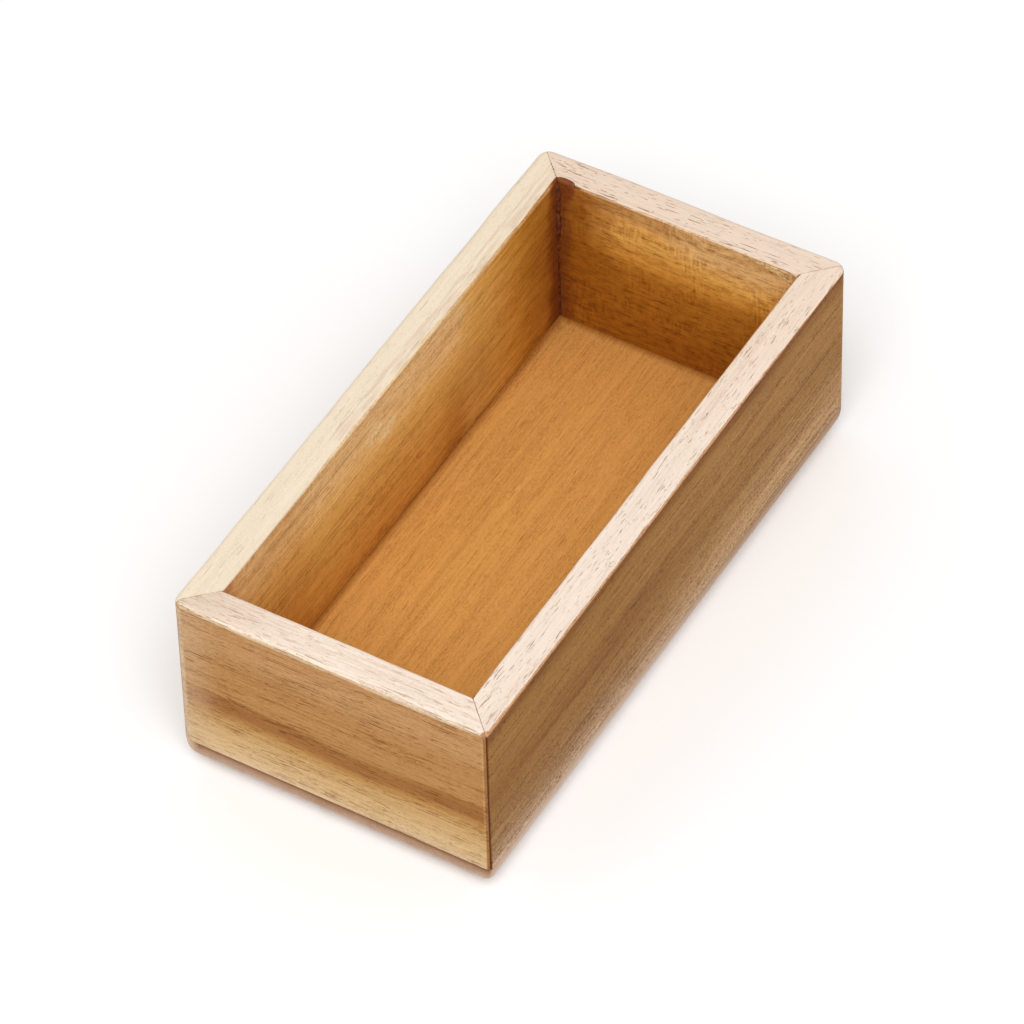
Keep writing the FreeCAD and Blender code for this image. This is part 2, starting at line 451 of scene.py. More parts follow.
level = calc(tree, "MULTIPLY_ADD", given["Curl"], given["Curl Depth"], level)
colour = blend(tree, ramp(tree, level, 0.0, -1.0), given["Colour"], DARK_FIBRE, "MULTIPLY")
colour = blend(tree, ramp(tree, level, 0.0, 1.0), colour, LIGHT_FIBRE, "MULTIPLY")
colour = blend(tree, times(tree, given["Pores"], given["Pore Depth"]), colour, given["Pore Tint"], "MULTIPLY")
tree.links.new(colour, result["Colour"])
tone_group = tree

# One board's outer face, rounded arris, pale rim, inner face and joints; the rim is sanded and partly painted top
# light
SANDING_STREAK, RAGGED_STAIN_AND_SHADE = (0.009, 0.0003, 0.0003), (0.004, 0.004, 0.006)
BROKEN_LINE, BROKEN_MITRE = (0.008, 0.0008, 0.0008), (0.002, 0.002, 0.01)
CORNER_HAIRLINE, MITRE_HAIRLINE = (0.0003, 0.0001), (0.00022, 0.00008)
CORNER_HIGHLIGHT = (0.68, 0.42, 0.21, 1)
ROUGHNESS = (0.55, 0.8)

tree, given, result = start_tree("Board wood", "ShaderNodeTree", {
    "Place": ("Vector", None),
    "Half Length": ("Float", 0.05),
    "Wall": ("Float", WALL),
    "Seed": ("Float", 0.0),
    "Outer Colour": ("Color", (0.5, 0.3, 0.1, 1)),
    "Inner Colour": ("Color", (0.5, 0.3, 0.1, 1)),
    "Rim Colour": ("Color", (0.8, 0.7, 0.5, 1)),
    "Arris Colour": ("Color", (0.4, 0.3, 0.2, 1)),
    "Arris Line": ("Float", 0.0),
    "Unsanded": ("Float", 0.0),
    "Corner Colour": ("Color", (0.4, 0.3, 0.2, 1)),
    "Corner Width": ("Float", 0.002),
    "Joint Colour": ("Color", (0.1, 0.04, 0.015, 1)),
    "Joint Width": ("Float", 0.0002),
    "Stain Colour": ("Color", (0.2, 0.05, 0.01, 1)),
    "Stain Width": ("Float", 0.002),
    "Mouth Colour": ("Color", (0.5, 0.3, 0.1, 1)),
    "Line Colour": ("Color", (0.2, 0.1, 0.05, 1)),
    "Mouth Line": ("Float", 0.0),
    "Pore Tint": ("Color", (0.5, 0.32, 0.2, 1)),
    "Corner Light": ("Float", 0.0),
    "Arris Sanding": ("Float", 0.7),
    "Mouth Sanding": ("Float", 0.6),
    "Face Pores": ("Float", 0.6),
    "Rim Pores": ("Float", 0.6),
    "Face Fibres": ("Float", 0.5),
    "Rim Fibres": ("Float", 0.25),
    "Inner Fibres": ("Float", 0.5),
    "Bands": ("Float", 0.2),
    "Inner Curl": ("Float", 0.2),
    "Face Pore Depth": ("Float", 0.6),
    "Rim Pore Depth": ("Float", 0.6),
    "Pore Length": ("Float", 1.0),
    "Face Short Fibres": ("Float", MANY_SHORT_FIBRES),
    "Inner Short Fibres": ("Float", MANY_SHORT_FIBRES),
    "Rim Short Fibres": ("Float", 0.7),
}, {"Colour": "Color", "Roughness": "Float", "Height": "Float"})
place, seed, wall = given["Place"], given["Seed"], given["Wall"]
along, depth, _ = parts(tree, place)
facing_up = turned_up(tree)
rounded = times(tree, ramp(tree, facing_up, 0.1, 0.3), ramp(tree, facing_up, 1.0, 0.96))
facing = plus(tree, facing_up, times(tree, ragged(tree, place, SANDING_STREAK, seed, 0.15), rounded))
inside = ramp(tree, depth, times(tree, wall, 0.45), times(tree, wall, 0.55))
outside_share = rest(tree, inside)
# Where the surface turns up past the limit it takes the rim's pale colour: sanded wood, whose paleness is partly
# painted top light
limit = between(tree, inside, given["Arris Sanding"], given["Mouth Sanding"])
sanded_and_top_lit = ramp(tree, minus(tree, facing, limit), -0.05, 0.05, kind="SMOOTHSTEP")
sanded_and_top_lit = times(tree, sanded_and_top_lit, rest(tree, given["Unsanded"]))

# Distance to the mitre, as seen from above, and a ragged version of it for the dark stain and painted shade in the
# inner corners
from_mitre = minus(tree, given["Half Length"], calc(tree, "ABSOLUTE", along), depth)
from_inner_corner = plus(
    tree, from_mitre, minus(tree, depth, wall), ragged(tree, place, RAGGED_STAIN_AND_SHADE, seed, 0.0018))
# Towards an inner corner the inner face darkens, partly with glue stain and partly with painted shade in the corner
stain_and_shade = ramp(tree, calc(tree, "DIVIDE", from_inner_corner, given["Stain Width"]), 1.4, 0.3, kind="SMOOTHSTEP")
# Along a rounded upright corner the outer face gets a band of painted light and shade: paler where the rounding
# turns towards the light, darker where it turns away
corner = ramp(tree, calc(tree, "DIVIDE", from_mitre, given["Corner Width"]), 1.25, 0.7, kind="SMOOTHSTEP")

inner_colour = blend(tree, times(tree, stain_and_shade, 0.85), given["Inner Colour"], given["Stain Colour"])
mouth = times(tree, ramp(tree, facing, 0.06, 0.2), rest(tree, stain_and_shade))
inner_colour = blend(tree, mouth, inner_colour, given["Mouth Colour"])
outer_colour = blend(tree, corner, given["Outer Colour"], given["Corner Colour"])
# A thin painted highlight line runs where the corner's rounding leaves the face
corner_highlight_line = ramp(tree, gap(tree, from_mitre, times(tree, given["Corner Width"], 1.15)), *CORNER_HAIRLINE)
corner_highlight_line = times(tree, corner_highlight_line, given["Corner Light"])
outer_colour = blend(tree, corner_highlight_line, outer_colour, CORNER_HIGHLIGHT)
arris = times(tree, ramp(tree, facing, 0.1, 0.25), outside_share)
outer_colour = blend(tree, arris, outer_colour, given["Arris Colour"])
colour = blend(tree, inside, outer_colour, inner_colour)
colour = blend(tree, sanded_and_top_lit, colour, given["Rim Colour"])

# Fine broken lines run along both borders of the arris and along the border of the mouth
at_limit = ramp(tree, gap(tree, facing, limit), 0.1, 0.03)
at_face = times(tree, ramp(tree, gap(tree, facing_up, 0.15), 0.13, 0.05), outside_share)
broken = ramp(tree, speckle(tree, place, BROKEN_LINE, seed, detail=2.0), 0.4, 0.6)
lines = times(tree, at_limit, between(tree, inside, given["Arris Line"], given["Mouth Line"]))
lines = calc(tree, "MAXIMUM", lines, times(tree, at_face, given["Arris Line"]))
round_mark = times(
    tree, ramp(tree, gap(tree, given["Unsanded"], 0.45), 0.42, 0.15), ramp(tree, facing_up, 0.4, 0.7))
colour = blend(tree, times(tree, lines, broken), colour, given["Line Colour"])
colour = blend(tree, round_mark, colour, given["Joint Colour"])
pore_share = between(tree, sanded_and_top_lit, given["Face Pores"], given["Rim Pores"])
short = between(tree, inside, given["Face Short Fibres"], given["Inner Short Fibres"])
short = between(tree, sanded_and_top_lit, short, given["Rim Short Fibres"])
grain = place_group(
    tree, grain_group, Place=place, Seed=seed, Pore_Share=pore_share, Pore_Length=given["Pore Length"],
    Short_Fibres=short)
fibre_depth = between(tree, inside, given["Face Fibres"], given["Inner Fibres"])
fibre_depth = between(tree, sanded_and_top_lit, fibre_depth, given["Rim Fibres"])
colour = place_group(
    tree, tone_group, Colour=colour, Pore_Tint=given["Pore Tint"], Fibres=grain["Fibres"], Pores=grain["Pores"],
    Bands=grain["Bands"], Curl=grain["Curl"], Fibre_Depth=fibre_depth,
    Pore_Depth=between(tree, sanded_and_top_lit, given["Face Pore Depth"], given["Rim Pore Depth"]),
    Band_Depth=between(tree, sanded_and_top_lit, given["Bands"], times(tree, given["Bands"], 0.3)),
    Curl_Depth=times(tree, given["Inner Curl"], inside, rest(tree, sanded_and_top_lit)))["Colour"]

# The mitre shows as a dark line, broken and thin across the rim
line = ramp(tree, calc(tree, "DIVIDE", from_mitre, given["Joint Width"]), 1.1, 0.5)
rim_line = ramp(tree, from_mitre, *MITRE_HAIRLINE)
faded = ramp(tree, speckle(tree, place, BROKEN_MITRE, 1.0), 0.35, 0.65, 0.08, 0.55)
line = between(tree, ramp(tree, facing_up, 0.2, 0.7), times(tree, line, 0.9), times(tree, rim_line, faded))
colour = blend(tree, line, colour, given["Joint Colour"])
tree.links.new(colour, result["Colour"])
tree.links.new(between(tree, grain["Pores"], *ROUGHNESS), result["Roughness"])
tree.links.new(minus(tree, times(tree, grain["Fibres"], 0.25), grain["Pores"]), result["Height"])
board_group = tree

# A board's place on the bin, and what its own section gives it
SHEEN, RELIEF = 0.08, 0.00006
RING_WAVE, SPOT_EDGE = (0.045, 0.02, 0.012), (0.003, 0.002, 0.0006)
low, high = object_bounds()
outside = high - low
base_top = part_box("base_board")[1].z
board_height = outside.z - base_top


def start_material(name):
    material = bpy.data.materials.new(name)
    material.use_nodes = True
    return material, material.node_tree


def lay_out(name, across, turns):
    """A board's material with its place on the board, and the matrix that turns the board round to its side."""
    home = Matrix.Rotation(math.radians(90 * turns), 4, "Z") @ Matrix.Translation((0, -across / 2, base_top))
    wood, tree = start_material(name + "_wood")
    away = home.inverted()
    place = add(tree, "ShaderNodeMapping", {
        "Vector": add(tree, "ShaderNodeTexCoord").outputs["Object"],
        "Location": away.translation, "Rotation": away.to_euler(),
    }).outputs[0]
    return wood, tree, home, place, parts(tree, place)[0]


def stripes(tree, value, stops):
    """A colour for each value from 0 to 1, such as the height on a board. A stop is (value, red, green, blue).

    Where the photo shows a face, its stops follow average colours measured there, corrected for the light."""
    node = tree.nodes.new("ShaderNodeValToRGB")
    tree.links.new(value, node.inputs[0])
    points = node.color_ramp.elements
    for stop in stops[1:-1]:
        points.new(stop[0])
    for point, (position, *paint) in zip(points, stops):
        point.position, point.color = position, shade(*paint)
    return node.outputs[0]


def level_on(tree, place, seed, wave):
    """Height on the board from 0 to 1, with the slow waves of the growth rings."""
    height = calc(tree, "DIVIDE", parts(tree, place)[2], board_height)
    return plus(tree, height, ragged(tree, place, RING_WAVE, seed, wave))


def at_ends(tree, along, left, right):
    """One number or colour at the board's left end and another at its right end."""
    on_right = calc(tree, "GREATER_THAN", along, 0.0)
    mix = blend if isinstance(left, tuple) else between
    return mix(tree, on_right, left, right)


def spot(tree, place, centre, size, seed, rough=0.35):
    """A ragged mark round a centre on the board, 1 inside and 0 outside."""
    away = aim(tree, "DIVIDE", aim(tree, "SUBTRACT", place, centre), size)
    far = add(tree, "ShaderNodeVectorMath", {0: away}, operation="LENGTH").outputs["Value"]
    far = plus(tree, far, ragged(tree, place, SPOT_EDGE, seed, rough))
    return ramp(tree, far, 1.1, 0.8, kind="SMOOTHSTEP")


def finish_wood(wood, colour, roughness, height, strength):
    """Feeds a board's colour, roughness and fine relief to its shader."""
    tree = wood.node_tree
    bump = add(tree, "ShaderNodeBump", {"Height": height, "Strength": strength, "Distance": RELIEF})
    principled = tree.nodes["Principled BSDF"]
    principled.inputs["Specular IOR Level"].default_value = SHEEN
    for label, output in (("Base Color", colour), ("Roughness", roughness), ("Normal", bump.outputs[0])):
        tree.links.new(output, principled.inputs[label])


def finish_board(name, node, slot, wood, home, place, run, seed, shape, **looks):
    """Finishes a board's material from its colours, makes its mesh and puts it in place of its CAD node."""
    board = place_group(
        wood.node_tree, board_group, Place=place, Half_Length=run / 2, Wall=WALL, Seed=seed, **looks)
    finish_wood(wood, board["Colour"], board["Roughness"], board["Height"], 0.6)
    piece = grow(name, board_tree, home, Length=run, Height=board_height, Seed=seed, Wood=wood, **shape)
    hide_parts(node)
    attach(piece, "root")


# Front board
# Tan wood with fine straight grain. A dark brown streak runs along it, and below the streak it grows paler towards
# the foot, painted light bounced up from the floor. Its right end was sanded less than its left, so that corner is
# almost sharp.
# The inner faces are darker towards the foot: painted shade inside the bin
PLAIN_INNER = ((0.0, 200, 140, 66), (1.0, 236, 190, 122))
CORNER_BAND, JOINT_LINE = 0.0024, 0.0002
TAN_PORE = (0.5, 0.34, 0.22, 1)
TIP_SIZE = (0.0016, 0.0016, 0.0016)
NEVER_PALE = 1.3
BEND_RISE, BEND_LENGTH, BEND_TOP = 0.014, 0.05, 0.0065

seed = 3.0
wood, tree, home, place, along = lay_out("front_board", outside.y, 0)
height = level_on(tree, place, seed, 0.018)
bend = calc(tree, "COSINE", times(tree, minus(tree, along, BEND_TOP), 2 * math.pi / BEND_LENGTH))
height = calc(tree, "MULTIPLY_ADD", bend, BEND_RISE, height)
# Paler towards the foot: painted light bounced up from the floor
outer = stripes(tree, height, (
    (0.0, 218, 187, 148), (0.06, 211, 176, 128), (0.12, 209, 173, 123), (0.24, 200, 159, 103), (0.285, 190, 144, 85),
    (0.318, 174, 125, 68), (0.345, 157, 104, 53), (0.375, 156, 103, 53), (0.42, 162, 110, 57), (0.436, 168, 116, 61),
    (0.448, 182, 132, 77), (0.58, 184, 135, 79), (0.66, 180, 130, 75), (0.77, 191, 144, 92), (0.92, 192, 144, 93),
    (1.0, 182, 134, 83)))
# Paler towards the left end
paler_to_left = ramp(tree, along, -0.025, -0.0365, kind="SMOOTHSTEP")
outer = blend(tree, times(tree, paler_to_left, 0.5), outer, shade(212, 180, 144))
inner = stripes(tree, height, PLAIN_INNER)

# The rounded edge is pale at the left end, and its tip at the right end is worn brown
towards_left = ramp(tree, along, -0.0365, -0.022)
flecks = ragged(tree, place, (0.012, 0.0003, 0.0003), seed, 0.12)
facing = plus(tree, turned_up(tree), flecks, between(tree, towards_left, -0.22, 0.0))
# Across the rounded edge the colour runs from tan to cream, with a painted highlight line just above the face
arris = stripes(tree, facing, (
    (0.08, 186, 144, 100), (0.2, 212, 180, 146), (0.34, 214, 184, 150), (0.44, 202, 172, 138), (0.54, 222, 198, 170),
    (0.66, 238, 218, 196), (1.0, 240, 221, 202)))
tip = spot(tree, place, (outside.x / 2, 0.0, board_height), TIP_SIZE, 4.0, rough=0.15)
arris = blend(tree, tip, arris, shade(186, 134, 92))
sanding_and_top_light = between(tree, tip, ramp(tree, along, 0.012, 0.02, 0.88, 0.72), NEVER_PALE)
# The rim's cream is partly painted top light
rim = blend(tree, ramp(tree, along, -0.03, -0.006), shade(222, 200, 179), shade(238, 219, 202))
finish_board(
    "front_board", "front_wall", "front_board", wood, home, place, outside.x, seed,
    dict(Right_Corner=0.001, Rim_Left=0.0015, Rim_Middle=0.0016, Rim_Right=0.0012, Foot_Ease=0.00005),
    Outer_Colour=outer, Inner_Colour=inner, Rim_Colour=rim, Arris_Colour=arris, Arris_Line=0.4,
    # The left corner gets a pale painted highlight, and the right corner a darker painted shade
    Corner_Colour=at_ends(tree, along, shade(214, 184, 150), shade(160, 110, 62)),
    Corner_Width=at_ends(tree, along, CORNER_BAND, 0.0009), Corner_Light=at_ends(tree, along, 0.0, 0.3),
    Joint_Colour=shade(110, 66, 34), Joint_Width=at_ends(tree, along, JOINT_LINE, 0.00012),
    Stain_Colour=shade(128, 68, 28), Stain_Width=0.0012, Mouth_Colour=shade(196, 140, 88),
    Line_Colour=shade(164, 122, 84), Pore_Tint=TAN_PORE, Arris_Sanding=sanding_and_top_light, Mouth_Sanding=0.5,
    Face_Pores=0.62, Rim_Pores=0.52, Face_Fibres=0.66, Rim_Fibres=0.4, Bands=0.2, Face_Pore_Depth=0.72,
    Rim_Pore_Depth=0.55, Face_Short_Fibres=1.2)

# Right board
# Golden brown wood in soft lengthwise bands, reddish just under the rim and paler towards its foot, most of all at
# its near end, which is painted light bounced up from the floor.
DARK_PORE = (0.4, 0.25, 0.16, 1)

seed = 11.0
wood, tree, home, place, along = lay_out("right_board", outside.x, 1)
height = level_on(tree, place, seed, 0.035)
# Both ends grow paler towards the foot, the near end most: painted light bounced up from the floor
near = stripes(tree, height, (
    (0.0, 198, 167, 138), (0.035, 188, 154, 121), (0.07, 169, 132, 97), (0.14, 160, 121, 80), (0.28, 154, 109, 58),
    (0.4, 152, 106, 52), (0.47, 138, 89, 36), (0.53, 142, 94, 40), (0.67, 155, 108, 50), (0.86, 156, 109, 49),
    (0.93, 141, 93, 36), (0.97, 130, 80, 24), (1.0, 122, 72, 16)))
far = stripes(tree, height, (
    (0.0, 186, 151, 112), (0.05, 186, 148, 106), (0.12, 186, 145, 99), (0.28, 170, 126, 75), (0.45, 156, 109, 55),
    (0.57, 162, 116, 60), (0.7, 161, 113, 57), (0.82, 168, 122, 64), (0.91, 153, 105, 48), (0.955, 132, 83, 34),
    (1.0, 120, 70, 20)))
outer = blend(tree, ramp(tree, along, -0.03, 0.03, kind="SMOOTHSTEP"), near, far)
inner = stripes(tree, height, PLAIN_INNER)
# Across the rounded edge the colour darkens to a reddish line where it turns down to the face, partly reddish wood
# and partly painted shade
arris = stripes(tree, turned_up(tree), (
    (0.08, 122, 74, 28), (0.3, 146, 98, 54), (0.5, 188, 140, 100), (0.75, 200, 158, 122), (1.0, 214, 178, 146)))

# The fibres stand out more towards the foot
rough_foot = ramp(tree, height, 0.1, 0.5, 1.9, 1.25)
tip = spot(tree, place, (-outside.y / 2, 0.0, board_height), TIP_SIZE, 4.0, rough=0.15)
sanding_and_top_light = between(tree, tip, ramp(tree, along, 0.03, 0.07, 0.85, 0.5), NEVER_PALE)
# The rim's cream is partly painted top light
rim = blend(tree, ramp(tree, along, 0.005, 0.045), shade(236, 217, 200), shade(233, 212, 192))
finish_board(
    "right_board", "right_wall", "right_board", wood, home, place, outside.y, seed,
    dict(Left_Corner=0.001, Rim_Left=0.0012, Rim_Middle=0.0009, Rim_Right=0.0012, Foot_Ease=0.00003),
    Outer_Colour=outer, Inner_Colour=inner, Rim_Colour=rim, Arris_Colour=arris,
    # The near corner gets a darker painted shade, and the far corner a pale painted highlight
    Corner_Colour=at_ends(tree, along, shade(150, 100, 50), shade(186, 146, 104)),
    Corner_Width=at_ends(tree, along, 0.0008, CORNER_BAND), Joint_Colour=shade(72, 38, 14),
    # At the near end the dark joint line is widened by painted shade on the rounding beside it
    Joint_Width=at_ends(tree, along, 0.0006, JOINT_LINE), Stain_Colour=shade(128, 68, 28), Stain_Width=0.001,
    Mouth_Colour=shade(206, 156, 108), Line_Colour=shade(120, 70, 38), Pore_Tint=DARK_PORE,
    Arris_Sanding=sanding_and_top_light, Mouth_Sanding=0.85, Face_Pores=0.4, Rim_Pores=0.42, Face_Fibres=rough_foot,
    Rim_Fibres=0.32, Bands=0.34, Face_Pore_Depth=0.26, Rim_Pore_Depth=0.72, Pore_Length=0.8)

# Back board
# Amber inside with a curl across the grain, darker towards its foot with painted shade. It grows darker towards the
# back left corner, where glue was also wiped over the edge of the rim, and at the other end a strip of pale sapwood
# is left under the rim.
SAPWOOD_LENGTH, SAPWOOD_DEPTH, SAPWOOD_SLANT = (0.014, 0.0015), (0.0004, 0.0037), 0.3
GLUE_AND_SHADOW_SPOT = ((0.0276, WALL, board_height), (0.0025, 0.0011, 0.006), 6.0)
WORN_MOUTH, WORN_SLANT, PALE_THROUGH = (0.0026, 0.0022), 1.84, -0.3

seed = 5.0
wood, tree, home, place, along = lay_out("back_board", outside.y, 2)
height = level_on(tree, place, seed, 0.05)
outer = stripes(tree, height, (
    (0.0, 196, 152, 98), (0.4, 180, 130, 72), (0.7, 166, 112, 54), (1.0, 178, 128, 70)))
# Darker towards the foot: painted shade inside the bin
inner = stripes(tree, height, (
    (0.0, 152, 93, 26), (0.35, 168, 110, 34), (0.54, 176, 118, 40), (0.64, 211, 155, 68), (0.73, 228, 179, 93),
    (0.82, 227, 175, 94), (0.89, 208, 161, 98), (1.0, 200, 152, 92)))
to_left = plus(tree, along, ragged(tree, place, (0.004, 0.01, 0.003), 2.0, 0.003, detail=3.0))
inner = blend(tree, ramp(tree, to_left, 0.0125, 0.0235, 0.0, 0.92), inner, shade(160, 100, 28))
pale_end = times(tree, ramp(tree, along, 0.0045, -0.0045, 0.0, 0.6), ramp(tree, height, 0.74, 0.84))
inner = blend(tree, pale_end, inner, shade(236, 200, 140))

# The strip of sapwood has a ragged lower edge with a brown line along it
from_right = plus(tree, along, outside.x / 2 - WALL)
from_rim = minus(tree, board_height, parts(tree, place)[2])
reach = ramp(tree, from_right, *SAPWOOD_LENGTH, *SAPWOOD_DEPTH)
reach = plus(tree, reach, ragged(tree, place, (0.0012, 0.01, 0.0012), 6.0, 0.0005, detail=3.0))
reach = minus(tree, reach, from_rim)
ragged_end = calc(tree, "MULTIPLY_ADD", from_rim, SAPWOOD_SLANT, from_right)
sapwood = times(tree, ramp(tree, reach, -0.00012, 0.00012), ramp(tree, ragged_end, 0.0014, 0.0019))
grey_beige = ramp(tree, speckle(tree, place, (0.0008, 0.01, 0.0008), 7.0, detail=2.0), 0.35, 0.65)
grey_beige = blend(tree, grey_beige, shade(200, 168, 112), shade(246, 220, 166))
inner = blend(tree, ramp(tree, calc(tree, "ABSOLUTE", reach), 0.0004, 0.0001, 0.0, 0.6), inner, shade(150, 96, 40))
inner = blend(tree, sapwood, inner, grey_beige)

# The mouth's edge is pale, partly sanded and partly painted top light, worn at its right end, and brown at its left
# end, where glue was wiped and a painted shadow lies under the rounded corner
mouth = stripes(tree, turned_up(tree), (
    (0.16, 176, 122, 72), (0.28, 206, 168, 126), (0.38, 220, 188, 154), (1.0, 224, 194, 162)))
mouth = blend(tree, ramp(tree, along, 0.012, 0.024), mouth, shade(190, 144, 104))
mouth = blend(tree, ramp(tree, along, 0.0232, 0.0243), mouth, shade(134, 80, 48))
# At the back left corner a dark mark runs from the rim down the inner face: partly wiped glue, partly painted shadow
# under the rounded mouth
glue_and_shadow = spot(tree, place, *GLUE_AND_SHADOW_SPOT, rough=0.08)
inner = blend(tree, glue_and_shadow, inner, shade(134, 76, 40))
sanding_and_top_light = ramp(tree, along, -0.008, -0.018, 0.77, 0.4)
corner_wear = calc(tree, "MULTIPLY_ADD", from_rim, WORN_SLANT, from_right)
sanding_and_top_light = between(tree, ramp(tree, corner_wear, *WORN_MOUTH), sanding_and_top_light, PALE_THROUGH)
# Its rim's cream colour is partly painted top light, and its rounded corners get a pale painted highlight
finish_board(
    "back_board", "back_wall", "back_board", wood, home, place, outside.x, seed,
    dict(Rim_Left=0.0012, Rim_Middle=0.0016, Rim_Right=0.0022),
    Outer_Colour=outer, Inner_Colour=inner, Rim_Colour=shade(230, 208, 187), Arris_Colour=shade(200, 164, 124),
    Corner_Colour=shade(196, 152, 104), Corner_Width=CORNER_BAND,
    Joint_Colour=shade(98, 54, 30), Joint_Width=JOINT_LINE,
    Stain_Colour=shade(130, 70, 30), Stain_Width=at_ends(tree, along, 0.0007, 0.0036), Unsanded=glue_and_shadow,
    Mouth_Colour=mouth, Mouth_Line=0.8, Line_Colour=shade(138, 92, 58),
    Pore_Tint=DARK_PORE, Arris_Sanding=0.5, Mouth_Sanding=sanding_and_top_light, Face_Pores=0.45, Rim_Pores=0.45,
    Face_Fibres=0.5, Rim_Fibres=0.24, Inner_Fibres=0.75, Bands=0.25, Inner_Curl=0.5, Face_Pore_Depth=0.45,
    Rim_Pore_Depth=0.85, Inner_Short_Fibres=1.2)

# Left board
# The palest board. Inside it is cream and gold for two thirds of its length, with a fleck of silver grain, and
# darkens in steps towards the back left corner. Its cream top is partly painted light bounced inside the bin, and it
# is darker towards the foot with painted shade.
SILVER_FLECKS = (
    ((0.0087, WALL, board_height - 0.0085), (0.0036, 0.01, 0.0027), 8.0),
    ((0.0037, WALL, board_height - 0.0115), (0.0036, 0.01, 0.0024), 9.0),
)

seed = 17.0
wood, tree, home, place, along = lay_out("left_board", outside.x, 3)
height = level_on(tree, place, seed, 0.05)
outer = stripes(tree, height, (
    (0.0, 192, 148, 92), (0.35, 178, 128, 68), (0.65, 170, 118, 60), (1.0, 182, 134, 76)))
# Cream at the top, partly painted light bounced inside the bin, and darker towards the foot with painted shade
inner = stripes(tree, height, (
    (0.0, 204, 144, 68), (0.3, 222, 168, 86), (0.58, 236, 188, 106), (0.68, 245, 202, 127), (0.77, 249, 210, 145),
    (0.88, 247, 211, 150), (1.0, 246, 210, 152)))
to_back = plus(tree, along, ragged(tree, place, (0.006, 0.01, 0.002), 4.0, 0.004, detail=3.0))
darker = stripes(tree, ramp(tree, to_back, -0.03, -0.068), (
    (0.0, 236, 188, 106), (0.25, 228, 176, 92), (0.5, 210, 152, 64), (0.7, 188, 130, 48), (1.0, 178, 116, 43)))
inner = blend(tree, ramp(tree, to_back, -0.024, -0.032, kind="SMOOTHSTEP"), inner, darker)

# Duller low down before the dark steps, and at the near end
dull = times(
    tree, ramp(tree, to_back, -0.012, -0.026), ramp(tree, to_back, -0.048, -0.034), ramp(tree, height, 0.75, 0.4))
inner = blend(tree, dull, inner, (0.78, 0.73, 0.65, 1), "MULTIPLY")
inner = blend(tree, ramp(tree, to_back, 0.033, 0.042), inner, (0.93, 0.85, 0.77, 1), "MULTIPLY")
fleck = calc(tree, "MAXIMUM", *(spot(tree, place, *one) for one in SILVER_FLECKS))
silver = ramp(tree, speckle(tree, place, (0.0013, 0.001, 0.0005), 5.0, detail=3.0), 0.42, 0.52)
inner = blend(tree, times(tree, fleck, silver), inner, shade(255, 232, 176))

# The mouth's rounded edge is pale at the near end, partly a painted highlight where it turns towards the light, and
# browner towards the back
mouth = stripes(tree, ramp(tree, to_back, 0.06, -0.068), (
    (0.0, 238, 214, 180), (0.3, 232, 202, 160), (0.62, 228, 194, 146), (0.86, 214, 170, 120), (1.0, 190, 138, 84)))
sanding_and_top_light = ramp(tree, along, 0.044, 0.02, 0.4, 0.94)
# Its rim's cream colour is partly painted top light, and its rounded corners get a pale painted highlight
finish_board(
    "left_board", "left_wall", "left_board", wood, home, place, outside.y, seed,
    dict(Rim_Left=0.0022, Rim_Middle=0.0018, Rim_Right=0.0015),
    Outer_Colour=outer, Inner_Colour=inner, Rim_Colour=shade(235, 218, 193), Arris_Colour=shade(206, 172, 132),
    Corner_Colour=shade(204, 166, 124), Corner_Width=CORNER_BAND,
    Joint_Colour=shade(110, 66, 34), Joint_Width=JOINT_LINE,
    Stain_Colour=at_ends(tree, along, shade(124, 62, 26), shade(206, 148, 98)),
    Stain_Width=at_ends(tree, along, ramp(tree, height, 0.9, 0.5, 0.0034, 0.0052), 0.005),
    Mouth_Colour=mouth, Mouth_Line=0.4, Line_Colour=shade(176, 122, 82),
    Pore_Tint=(0.55, 0.4, 0.28, 1), Arris_Sanding=0.5, Mouth_Sanding=sanding_and_top_light,
    Face_Pores=0.35, Rim_Pores=0.2, Face_Fibres=0.5, Rim_Fibres=0.2, Inner_Fibres=0.9, Bands=0.25, Inner_Curl=0.2,
    Face_Pore_Depth=0.15, Rim_Pore_Depth=0.45, Inner_Short_Fibres=1.0, Rim_Short_Fibres=1.8)


# Base board
# One board under all four walls, as long and wide as the bin, with its grain lengthwise. Its lower edge is rounded
# over, and the rounding of the upright corners runs on into it and dies out in the flat underside.
FOOT_ROUND = 0.007
TOP_EASE = 0.00004
FOOT_STEPS, CORNER_STEPS = 14, 10
SHARP_CORNER, ROUND_CORNER = 0.001, 0.003
UNDER_WALL, FLOOR_SHADE = (0.004, 0.0045), 0.002
UNDERSIDE, LIT_FOOT_CORNER = (0.0025, 0.0005), (0.0045, 0.002)

